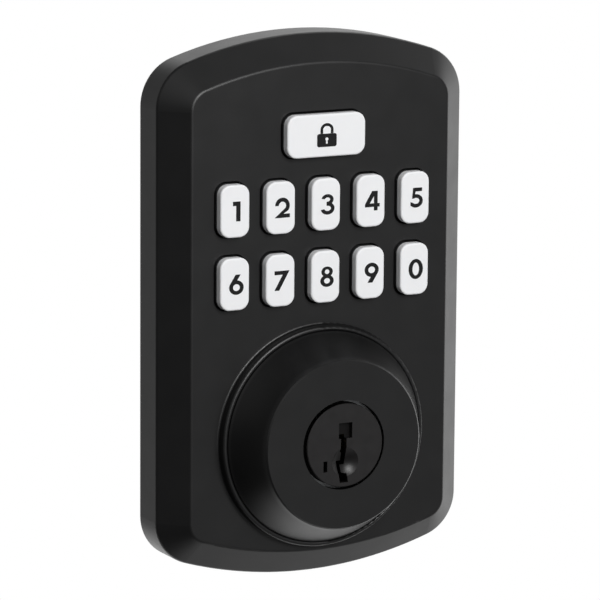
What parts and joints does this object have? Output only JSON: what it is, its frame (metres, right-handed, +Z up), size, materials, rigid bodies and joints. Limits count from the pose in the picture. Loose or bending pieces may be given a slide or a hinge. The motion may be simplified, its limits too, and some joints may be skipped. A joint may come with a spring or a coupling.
{
  "type": "keypad deadbolt lock",
  "caption": "Outside half of a keypad deadbolt: bevelled black case with arched ends, white push keys, and a flared round collar with a key cylinder and tail blade behind.",
  "frame": {"origin": "where the key cylinder's axis meets the face of the door", "axes": "+X to the right seen from outside, +Z up, -Y out of the door towards the user, +Y into the door along the cylinder's axis"},
  "size_m": [0.0706, 0.082, 0.114],
  "materials": {
    "powder_coat": "fine matte black powder coat",
    "plug_finish": "matte black over brass",
    "key_white": "soft matte white with printed figures",
    "key_silicone": "translucent silicone",
    "rubber": "black rubber",
    "foam": "closed-cell foam",
    "black_plastic": "moulded, fine texture",
    "socket_plastic": "ivory connector plastic",
    "chip_package": "moulded chip package",
    "light_chip": "white light-emitting chip",
    "circuit_board": "green solder mask",
    "gilt": "gold flash",
    "brass": "turned brass",
    "die_cast_zinc": "raw die casting",
    "screw_steel": "zinc plated",
    "hard_steel": "hardened",
    "spring_steel": "spring wire"
  },
  "bodies": {
    "case": {"escutcheon": "powder_coat", "cylinder_guard": "powder_coat", "guard_seal": "rubber", "escutcheon_gasket": "foam", "back_cover": "black_plastic", "back_cover_screws": "screw_steel", "adapter_ring": "black_plastic", "mounting_posts": "screw_steel", "keypad_mat": "key_silicone", "key_domes": "key_silicone", "keypad_board": "circuit_board", "board_contacts": "gilt", "key_lights": "light_chip", "buzzer": "black_plastic", "cable_socket": "socket_plastic", "board_screws": "screw_steel", "cylinder_screws": "screw_steel", "cylinder_body": "die_cast_zinc", "body_drill_pins": "hard_steel", "cylinder_cap": "die_cast_zinc", "cap_screws": "screw_steel", "controller_chip": "chip_package", "memory_chip": "chip_package"},
    "key_plug": {"plug": "plug_finish", "plug_drill_pins": "hard_steel", "spring_cover": "brass", "tumbler_springs": "spring_steel", "sidebar_springs": "spring_steel", "plug_retainer": "hard_steel"},
    "blade": {"torque_blade": "screw_steel"},
    "sidebar_bar": {"sidebar": "brass"},
    "key_1_button": {"key_1": "key_white"},
    "key_2_button": {"key_2": "key_white"},
    "key_3_button": {"key_3": "key_white"},
    "key_4_button": {"key_4": "key_white"},
    "key_5_button": {"key_5": "key_white"},
    "key_6_button": {"key_6": "key_white"},
    "key_7_button": {"key_7": "key_white"},
    "key_8_button": {"key_8": "key_white"},
    "key_9_button": {"key_9": "key_white"},
    "key_0_button": {"key_0": "key_white"},
    "key_lock_button": {"key_lock": "key_white"},
    "tumbler_1": {"key_pin_1": "brass", "wafer_1": "brass"},
    "tumbler_2": {"key_pin_2": "brass", "wafer_2": "brass"},
    "tumbler_3": {"key_pin_3": "brass", "wafer_3": "brass"},
    "tumbler_4": {"key_pin_4": "brass", "wafer_4": "brass"},
    "tumbler_5": {"key_pin_5": "brass", "wafer_5": "brass"}
  },
  "joints": [
    {"name": "key_1_press", "type": "slide", "parent": "case", "child": "key_1_button", "axis": [0, 1, 0], "range_m": [0, 0.0012], "stiffness_N_per_m": 600, "deforming": ["key_domes"]},
    {"name": "key_2_press", "type": "slide", "parent": "case", "child": "key_2_button", "axis": [0, 1, 0], "range_m": [0, 0.0012], "stiffness_N_per_m": 600, "deforming": ["key_domes"]},
    {"name": "key_3_press", "type": "slide", "parent": "case", "child": "key_3_button", "axis": [0, 1, 0], "range_m": [0, 0.0012], "stiffness_N_per_m": 600, "deforming": ["key_domes"]},
    {"name": "key_4_press", "type": "slide", "parent": "case", "child": "key_4_button", "axis": [0, 1, 0], "range_m": [0, 0.0012], "stiffness_N_per_m": 600, "deforming": ["key_domes"]},
    {"name": "key_5_press", "type": "slide", "parent": "case", "child": "key_5_button", "axis": [0, 1, 0], "range_m": [0, 0.0012], "stiffness_N_per_m": 600, "deforming": ["key_domes"]},
    {"name": "key_6_press", "type": "slide", "parent": "case", "child": "key_6_button", "axis": [0, 1, 0], "range_m": [0, 0.0012], "stiffness_N_per_m": 600, "deforming": ["key_domes"]},
    {"name": "key_7_press", "type": "slide", "parent": "case", "child": "key_7_button", "axis": [0, 1, 0], "range_m": [0, 0.0012], "stiffness_N_per_m": 600, "deforming": ["key_domes"]},
    {"name": "key_8_press", "type": "slide", "parent": "case", "child": "key_8_button", "axis": [0, 1, 0], "range_m": [0, 0.0012], "stiffness_N_per_m": 600, "deforming": ["key_domes"]},
    {"name": "key_9_press", "type": "slide", "parent": "case", "child": "key_9_button", "axis": [0, 1, 0], "range_m": [0, 0.0012], "stiffness_N_per_m": 600, "deforming": ["key_domes"]},
    {"name": "key_0_press", "type": "slide", "parent": "case", "child": "key_0_button", "axis": [0, 1, 0], "range_m": [0, 0.0012], "stiffness_N_per_m": 600, "deforming": ["key_domes"]},
    {"name": "key_lock_press", "type": "slide", "parent": "case", "child": "key_lock_button", "axis": [0, 1, 0], "range_m": [0, 0.0012], "stiffness_N_per_m": 600, "deforming": ["key_domes"]},
    {"name": "plug_turn", "type": "hinge", "parent": "case", "child": "key_plug", "pos_m": [0, 0, 0], "axis": [0, 1, 0], "range_deg": [-90, 90]},
    {"name": "blade_turn", "type": "hinge", "parent": "key_plug", "child": "blade", "pos_m": [0, 0, 0], "axis": [0, 1, 0], "range_deg": [0, 90]},
    {"name": "tumbler_1_lift", "type": "slide", "parent": "key_plug", "child": "tumbler_1", "axis": [0, 0, 1], "range_m": [0, 0.003], "stiffness_N_per_m": 100, "springref_m": -0.001, "deforming": ["tumbler_springs"]},
    {"name": "tumbler_2_lift", "type": "slide", "parent": "key_plug", "child": "tumbler_2", "axis": [0, 0, 1], "range_m": [0, 0.003], "stiffness_N_per_m": 100, "springref_m": -0.001, "deforming": ["tumbler_springs"]},
    {"name": "tumbler_3_lift", "type": "slide", "parent": "key_plug", "child": "tumbler_3", "axis": [0, 0, 1], "range_m": [0, 0.003], "stiffness_N_per_m": 100, "springref_m": -0.001, "deforming": ["tumbler_springs"]},
    {"name": "tumbler_4_lift", "type": "slide", "parent": "key_plug", "child": "tumbler_4", "axis": [0, 0, 1], "range_m": [0, 0.003], "stiffness_N_per_m": 100, "springref_m": -0.001, "deforming": ["tumbler_springs"]},
    {"name": "tumbler_5_lift", "type": "slide", "parent": "key_plug", "child": "tumbler_5", "axis": [0, 0, 1], "range_m": [0, 0.003], "stiffness_N_per_m": 100, "springref_m": -0.001, "deforming": ["tumbler_springs"]},
    {"name": "sidebar_slide", "type": "slide", "parent": "key_plug", "child": "sidebar_bar", "axis": [-1, 0, 0], "range_m": [0, 0.0009], "stiffness_N_per_m": 100, "deforming": ["sidebar_springs"]}
  ]
}
